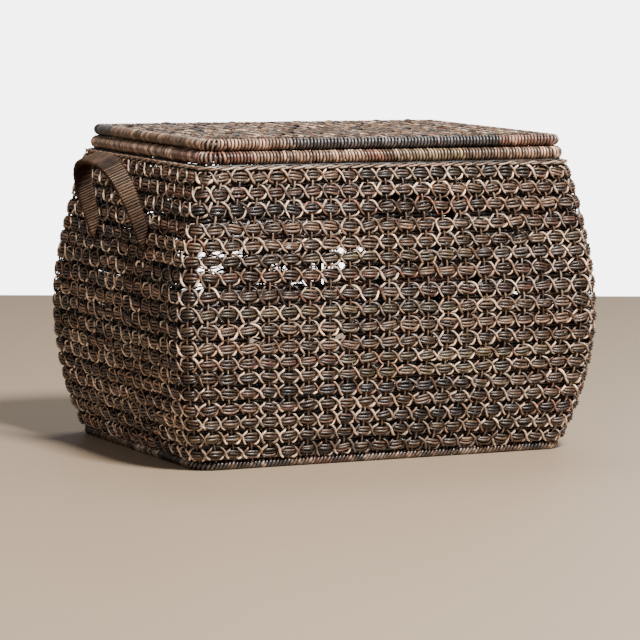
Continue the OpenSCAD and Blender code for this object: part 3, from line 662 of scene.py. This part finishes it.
def lid_colours(f, turn, n, rng):
    """Whipping colours in long stretches, as one cord after another is wound on. f, the share of the way round, is not
    used.
    """
    stretch = [(0.000, CHAR), (0.094, RED), (0.150, TAN), (0.215, BROWN), (0.30, TAN), (0.36, CHAR), (0.45, BROWN), (0.55, TAN), (0.62, CHAR),
               (0.68, BROWN), (0.755, BROWN), (0.84, TAN), (0.915, CHAR), (1.01, CHAR)]
    g = (np.arange(n) + rng.normal(0, 1.2, n)) / n
    col = np.zeros((n, 3))
    for (a, c), (b, _) in zip(stretch[:-1], stretch[1:]):
        m = (g >= a) & (g < b)
        col[m] = c
    col[g < 0] = CHAR
    col[g >= 1] = CHAR
    other = np.array((TAN, CREAM, BROWN, GREY, DARK))[rng.integers(0, 5, n)]
    w = rng.uniform(0, 0.4, n)[:, None]
    w = w * np.where(col.sum(1) < 0.2, 0.25, 1.0)[:, None]
    return (col * (1 - w) + other * w) * vary(rng, n, 0.5) * 1.4


def rim_colours(f, turn, n, rng):
    base = zones(rng, n, (TAN, BROWN, RED, CREAM, OLIVE, DARK), (5, 3, 3, 1.6, 1, 1), 8, 30)
    other = np.array((TAN, CREAM, BROWN, RED, DARK))[rng.integers(0, 5, n)]
    w = rng.uniform(0, 0.45, n)[:, None]
    return (base * (1 - w) + other * w) * vary(rng, n, 0.5) * 1.5


def border_colours(f, turn, n, rng):
    base = zones(rng, n, (CREAM, TAN, CHAR, RED, DARK, BROWN), (4, 3, 2, 1, 3, 2), 3, 14)
    other = np.array((TAN, CREAM, BROWN, DARK, DARK))[rng.integers(0, 5, n)]
    w = rng.uniform(0, 0.8, n)[:, None]
    return (base * (1 - w) + other * w) * vary(rng, n, 0.7) * 0.8


pc = Piece("rim_whipping")
whip(pc, RIM_W / 2 - RIM_WRAP_R, RIM_D / 2 - RIM_WRAP_R, 21, RIM_Z, RIM_WRAP_R, 4.8, 3.8, 16, rim_colours, 11, lean=-0.9)
pc.make(M_WHIP, "trunk", "whipped_cord", ("rim_wrap",))

pc = Piece("lid_whipping")
whip(pc, LID_W / 2 - LID_WRAP_R, LID_D / 2 - LID_WRAP_R, 14, LID_Z, LID_WRAP_R, 5.0, 3.8, 16, lid_colours, 12, lean=0.9)
pc.make(M_WHIP, "lid", "whipped_cord", ("lid_wrap",))

pc = Piece("base_braid")
whip(pc, BASE_W / 2 - 6, BASE_D / 2 - 6, 24, 6.0, BORDER_R, 5.4, 3.4, 14, border_colours, 13, lean=2.2, jitter=0.2)
pc.make(M_WHIP, "trunk", "whipped_cord", ("base_border",), floor=0.0)

# the pale twisted pair under the rim
pc = Piece("rim_twist_pair")
hx, hy = (float(v) for v in halves(TWIST_Z))
_, _, tot = ring(hx - 2.7, hy - 2.7, 27, TWIST_Z, np.zeros(1))
n = int(tot / 3.0)
s = np.arange(n) * tot / n
turns = round(tot / 34.0)
for k in (0, 1):
    rng = hashrand(4, k)
    C, O, _ = ring(hx - 2.7, hy - 2.7, 27, TWIST_Z, s)
    a = 2 * np.pi * turns * s / tot + k * math.pi
    path = C + O * (1.25 * np.cos(a))[:, None] + np.array([0, 0, 1.0]) * (1.45 * np.sin(a))[:, None]
    col = zones(rng, 80, (CREAM, TAN, TAN, BROWN), (6, 3, 2, 1), 3, 9) * 1.2
    # painted shade: the twisted pair is dimmed to 0.95
    pc.tube(path, O, 1.3, sides=7, closed=True, col=col[(np.arange(n) * 80 // n)], seed=77 + k, twist=0.2, painted_light=0.95)
pc.make(M_WHIP, "trunk", "whipped_cord", ("rim_twist",))

# --------------------------------------------------------------------------
# lid panel: the same twining, flat
# --------------------------------------------------------------------------
LID_COLS, LID_ROWS = 20, 15
LX, LY = LID_W / 2 - 2 * LID_WRAP_R, LID_D / 2 - 2 * LID_WRAP_R
LPX, LPY = 2 * LX / LID_COLS, 2 * LY / LID_ROWS
LID_SURF = TOTAL_H + 1.2
# the lid's palette leans to grey: partly the strands' own tone, partly painted sheen from light glancing off the top
LIDPAL = (TAN, BROWN, GREY, OLIVE, CHAR, RED)


def lid_rows(name, rows, replaces):
    pc = Piece(name)
    up = np.array([0, 0, 1.0])
    for r in rows:
        rng = hashrand(5, r)
        y0 = -LY + LPY * (r + 0.5)
        n = LID_COLS
        cells = bead_cells(rng, n)
        cells["d"] = cells["d"] * 1.6 + 1.0
        base = zones(rng, n, LIDPAL, (3, 3, 4, 1, 2, 1), 3, 9)

        def grid(ts):
            u, k, t = cell_grid(ts, n)
            u = np.concatenate([u, [n - 0.5, n - 0.42]]); k = np.concatenate([k, [n - 1, n - 1]]); t = np.concatenate([t, [0.5, 0.5]])
            u[0] = -0.5
            x = -LX + LPX * (u + 0.5)
            x = np.concatenate([[-LX - 2.5], x[:-1], [LX + 2.5]])
            k = np.concatenate([[0], k[:-1], [n - 1]]); t = np.concatenate([[-0.5], t[:-1], [0.5]])
            return x, k, t

        x, k, t = grid(BT)
        for j in range(STRANDS):
            y, d, E = bundle_shape(rng, n, LPY, k, t, j, cells)
            own = zones(rng, n, LIDPAL, (3, 3, 4, 1, 2, 1), 2, 7)
            mixw = rng.uniform(0.15, 0.5, n)[:, None]
            col = (base * (1 - mixw) + own * mixw) * vary(rng, n, 0.85)
            path = np.stack([x, y0 + y * 0.93, LID_SURF + d * 0.95], -1)
            # painted shade: each bead strand darkens towards the pinch at both ends, and on its back side
            pc.tube(path, up, SR * 0.88, sides=6, col=col[k], seed=rng.integers(1, 900), twist=0.2, painted_light=np.clip((0.455 - np.abs(t)) / 0.15, 0, 1), strip=280.0, back_shade=0.85)
        x, k, t = grid(RT)
        for s in (1, -1):
            col = zones(rng, n, (CREAM, TAN, BROWN, GREY), (4.5, 4, 1, 1.5), 2, 6) * vary(rng, n, 0.5) * 1.7
            y, d, near = ring_shape(rng, n, LPY, k, t, s, cells, False)
            path = np.stack([x, y0 + y * 0.98, LID_SURF + d * 0.95], -1)
            # painted shade: each ring strand darkens where it passes under the bead and its stake
            pc.tube(path, up, 1.33, sides=6, col=col[k], seed=rng.integers(1, 900), twist=0.3, painted_light=np.clip(1.0 - 0.8 * near, 0, 1), strip=280.0)
        if r < LID_ROWS - 1:
            x, k, t = grid(LT)
            alt = np.where(k % 2 == 0, 1.0, -1.0)
            for s in (1, -1):
                amp = np.clip(rng.normal(8.0, 1.4, n), 4, 10)[k]
                y = LPY * 0.5 + s * alt * amp * np.cos(np.pi * t)
                path = np.stack([x, y0 + y, LID_SURF - 9.6 + 0.4 * s * np.cos(np.pi * t * 2)], -1)
                own = zones(rng, n, (BROWN, DARK, TAN, GREY), (4, 3, 1.2, 2), 2, 6)
                # painted shade: the lacing under the panel is dimmed to 0.5
                pc.tube(path, up, 1.15, sides=5, col=own[k], seed=rng.integers(1, 900), twist=0.3, painted_light=0.5, strip=280.0)
            x, k, t = grid(np.array([-.5, -.25, 0., .25]))
            for s in (-1, 0, 1):
                y = y0 + LPY * 0.5 + s * 3.7 + rng.normal(0, 0.3, n)[k]
                z = LID_SURF - 8.8 + 0.5 * np.sin(np.pi * (k + t + s))
                own = zones(rng, n, (BROWN, DARK, CHAR, RED), (4, 4, 2, 1), 3, 9) * vary(rng, n, 0.25)
                # painted shade: the filler strands under the panel are dimmed to 0.6
                pc.tube(np.stack([x, y, z], -1), up, 1.7, sides=5, col=own[k], seed=rng.integers(1, 900), twist=0.2, painted_light=0.6, strip=280.0)
    return pc.make(M_LID, "lid", "lid_panel", replaces)


lid_rows("lid_weave_front", range(0, 5), ("lid_weave",))
lid_rows("lid_weave_middle", range(5, 10), ())
lid_rows("lid_weave_back", range(10, 15), ())
pc = Piece("lid_stakes")
ys = np.linspace(-LY - 2.5, LY + 2.5, 15 * 5 + 1)
for c in range(LID_COLS):
    rng = hashrand(6, c)
    x = -LX + LPX * (c + 0.5)
    ph = (ys + LY) / LPY - 0.5
    zz = LID_SURF + (-5.6 - 1.5 * np.cos(2 * np.pi * ph)) * 0.95
    col = zones(rng, 24, (TAN, CREAM, GREY, BROWN), (4, 2.5, 3, 2), 3, 9)
    # painted shade: the stakes are dimmed to 0.7, and darker still where they pass under a row
    pc.tube(np.stack([np.full(len(ys), x), ys, zz], -1), (0, 0, 1), 1.15, sides=6, col=col[np.clip(((ys + LY) / 15).astype(int), 0, 23)],
            seed=rng.integers(1, 900), painted_light=0.7)
pc.make(M_LID, "lid", "lid_panel")

# --------------------------------------------------------------------------
# floor panel: flat reeds, over and under
# --------------------------------------------------------------------------
pc = Piece("floor_reeds")
FX, FY = BASE_W / 2 - 17, BASE_D / 2 - 17
nx, ny = 46, 30
px, py = 2 * FX / nx, 2 * FY / ny
for i in range(ny):
    rng = hashrand(7, i)
    y = -FY + py * (i + 0.5)
    x = np.linspace(-FX, FX, nx * 4 + 1)
    z = 12.7 + 1.25 * np.cos(np.pi * ((x + FX) / px - 0.5)) * (1 if i % 2 else -1)
    lim = FX - max(0.0, abs(y) - (FY - 18))
    m = np.abs(x) <= lim
    col = zones(rng, nx + 1, (TAN, BROWN, RED, DARK), (3, 4, 2, 2), 8, 24)
    # painted shade: the reeds are dimmed to 0.8
    pc.tube(np.stack([x[m], np.full(m.sum(), y), z[m]], -1), (0, 0, 1), 0.8, py * 0.46, sides=6, col=col[((x[m] + FX) / px).astype(int)], seed=rng.integers(1, 900), painted_light=0.8, strip=260.0)
for i in range(nx):
    rng = hashrand(8, i)
    x = -FX + px * (i + 0.5)
    y = np.linspace(-FY, FY, ny * 4 + 1)
    z = 12.7 + 1.25 * np.cos(np.pi * ((y + FY) / py - 0.5)) * (-1 if i % 2 else 1)
    lim = FY - max(0.0, abs(x) - (FX - 18))
    m = np.abs(y) <= lim
    col = zones(rng, ny + 1, (TAN, BROWN, RED, DARK), (3, 4, 2, 2), 8, 24)
    # painted shade: the reeds are dimmed to 0.8
    pc.tube(np.stack([np.full(m.sum(), x), y[m], z[m]], -1), (0, 0, 1), 0.8, px * 0.42, sides=6, col=col[((y[m] + FY) / py).astype(int)], seed=rng.integers(1, 900), painted_light=0.8, strip=260.0)
pc.make(M_WEAVE, "trunk", "wicker_weave", ("floor_weave",))

# --------------------------------------------------------------------------
# handles: a flat strap whipped with fine cord
# --------------------------------------------------------------------------
HZ, HA, HL = 293.4, 78.0, 107.6
LEAN, TILT = math.radians(19.3), math.radians(22.0)
HW = 2 / 2.75


def arch(sx, m):
    """Centre line of the strap at m even steps, with its half width."""
    f = np.linspace(0, np.pi, 400)
    hx = float(halves(HZ)[0])
    l = HL * np.sin(f) ** HW
    y = -HA * np.sign(np.cos(f)) * np.abs(np.cos(f)) ** HW
    P = np.stack([sx * (hx + l * math.sin(LEAN)), y, HZ + l * math.cos(LEAN)], -1)
    w = (21.4 + 10.6 * np.sin(f)) / 2
    tail = np.linspace(1, 0, 12, endpoint=False)[:, None]
    end = np.array([sx * -7.0, 0, -14.0])
    A = P[0] + tail * end
    B = P[-1] + tail[::-1] * end
    P = np.concatenate([A, P, B]); w = np.concatenate([np.full(12, w[0]), w, np.full(12, w[-1])])
    s = np.concatenate([[0], np.cumsum(np.linalg.norm(np.diff(P, axis=0), axis=1))])
    q = np.linspace(0, s[-1], m)
    return np.stack([np.interp(q, s, P[:, c]) for c in range(3)], -1), np.interp(q, s, w), s[-1]


def handle(sx, name, node):
    pc = Piece(name)
    _, _, ln = arch(sx, 10)
    seg, pitch = 20, 3.7
    turns = int(ln / pitch)
    n = turns * seg + 1
    C, w, _ = arch(sx, n)
    tan = unit(np.gradient(C, axis=0))
    wd = np.array([sx * math.cos(TILT), 0, -math.sin(TILT)])
    a = unit(wd - (tan @ wd)[:, None] * tan)
    b = np.cross(tan, a)
    rng = hashrand(9, 1 if sx > 0 else 0)
    th = 2 * np.pi * np.arange(n) / seg
    c, s = np.cos(th), np.sin(th)
    ex = 0.5
    turn = np.minimum(np.arange(n) // seg, turns - 1)
    jr = rng.normal(0, 0.14, turns)[turn]
    hw = w - 1.4 + jr
    ht = 3.7 - 1.4 + jr + 0.35 * np.cos(2 * th)
    q = np.sign(c) * np.abs(c) ** ex * hw
    h = np.sign(s) * np.abs(s) ** 0.62 * ht
    path = C + a * q[:, None] + b * h[:, None]
    out = unit(a * (c * 0.6)[:, None] + b * s[:, None])
    col = zones(rng, turns, ((0.30, 0.150, 0.078), (0.24, 0.115, 0.062), (0.34, 0.185, 0.10), (0.20, 0.095, 0.055)), (5, 4, 2, 3), 3, 14)
    col = col * np.clip(rng.normal(1, 0.12, (turns, 1)), 0.7, 1.4)
    # painted shade: the inner side of each turn, against the strap, is darkened
    pc.tube(path, out, 1.5, pitch * 0.46, sides=6, col=col[turn], seed=31 if sx > 0 else 32, painted_light=1.0, strip=420.0, back_shade=0.9)
    pc.make(M_HANDLE, "trunk", "handle_cord", (node,))


handle(-1, "handle_cord_left", "handle_wrap_left")
handle(1, "handle_cord_right", "handle_wrap_right")

# --------------------------------------------------------------------------
# CAD pieces that stay
# --------------------------------------------------------------------------
steel = ["base_rod", "floor_bars", "rim_rod", "lid_rod", "lid_bars"] + [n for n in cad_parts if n.startswith(("corner_post", "rib_"))]
for nme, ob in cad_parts.items():
    if nme in steel:
        mat = M_STEEL
    elif nme.startswith("hinge"):
        mat = M_HINGE
    elif nme.startswith("handle_core"):
        mat = M_CANE
    else:
        continue
    ob.data.materials.clear()
    ob.data.materials.append(mat)

# --------------------------------------------------------------------------
# floor, light
# --------------------------------------------------------------------------
def make_floor():
    m, N, L = new_material("floor")
    out = N.new("ShaderNodeOutputMaterial"); b = N.new("ShaderNodeBsdfPrincipled"); L.new(b.outputs[0], out.inputs[0])
    b.inputs["Base Color"].default_value = (0.30, 0.228, 0.160, 1)
    b.inputs["Roughness"].default_value = 0.42
    fwd = np.array([math.sin(YAW), math.cos(YAW)]); rgt = np.array([math.cos(YAW), -math.sin(YAW)])
    c = CAM[:2]
    far = c + fwd * 6.52
    near = c - fwd * 2.0
    turn = fwd * 0.135 * 6
    pts = [far - rgt * 6 - turn, far + rgt * 6 + turn, near + rgt * 6, near - rgt * 6]
    me = bpy.data.meshes.new("floor")
    me.from_pydata([(p[0], p[1], 0.0) for p in pts], [], [(3, 2, 1, 0)])
    ob = bpy.data.objects.new("floor", me)
    bpy.context.scene.collection.objects.link(ob)
    me.materials.append(m)


make_floor()


def area(name, loc, target, size, power, colour=(1, 1, 1), size_y=None):
    l = bpy.data.lights.new(name, "AREA")
    l.energy, l.color, l.size = power, colour, size
    if size_y:
        l.shape, l.size_y = "RECTANGLE", size_y
    o = bpy.data.objects.new(name, l)
    o.location = loc
    o.rotation_mode = "QUATERNION"
    o.rotation_quaternion = (Vector(target) - Vector(loc)).to_track_quat("-Z", "Y")
    bpy.context.scene.collection.objects.link(o)
    return o


area("key", (0.3, -2.5, 3.5), (0, 0, 0.2), 0.7, 520, (1, 0.955, 0.895))
area("side", (-2.6, -2.4, 1.8), (0, 0, 0.2), 1.2, 21, (1, 0.97, 0.93))
area("window", (3.3, 2.4, 1.8), (0, 0, 0.1), 1.6, 42, (0.96, 0.98, 1))
area("top", (0.6, 1.2, 3.0), (0, 0, 0.2), 1.2, 50, (1, 0.97, 0.93))

w = bpy.data.worlds.new("studio")
bpy.context.scene.world = w
w.use_nodes = True
N, L = w.node_tree.nodes, w.node_tree.links
N.clear()
out = N.new("ShaderNodeOutputWorld")
lp = N.new("ShaderNodeLightPath")
b1 = N.new("ShaderNodeBackground"); b1.inputs[0].default_value = (0.95, 0.97, 1.0, 1); b1.inputs[1].default_value = 0.18
b2 = N.new("ShaderNodeBackground"); b2.inputs[0].default_value = (0.93, 0.94, 0.93, 1); b2.inputs[1].default_value = 6.0
mx = N.new("ShaderNodeMixShader")
L.new(lp.outputs["Is Camera Ray"], mx.inputs[0]); L.new(b1.outputs[0], mx.inputs[1]); L.new(b2.outputs[0], mx.inputs[2])
L.new(mx.outputs[0], out.inputs[0])
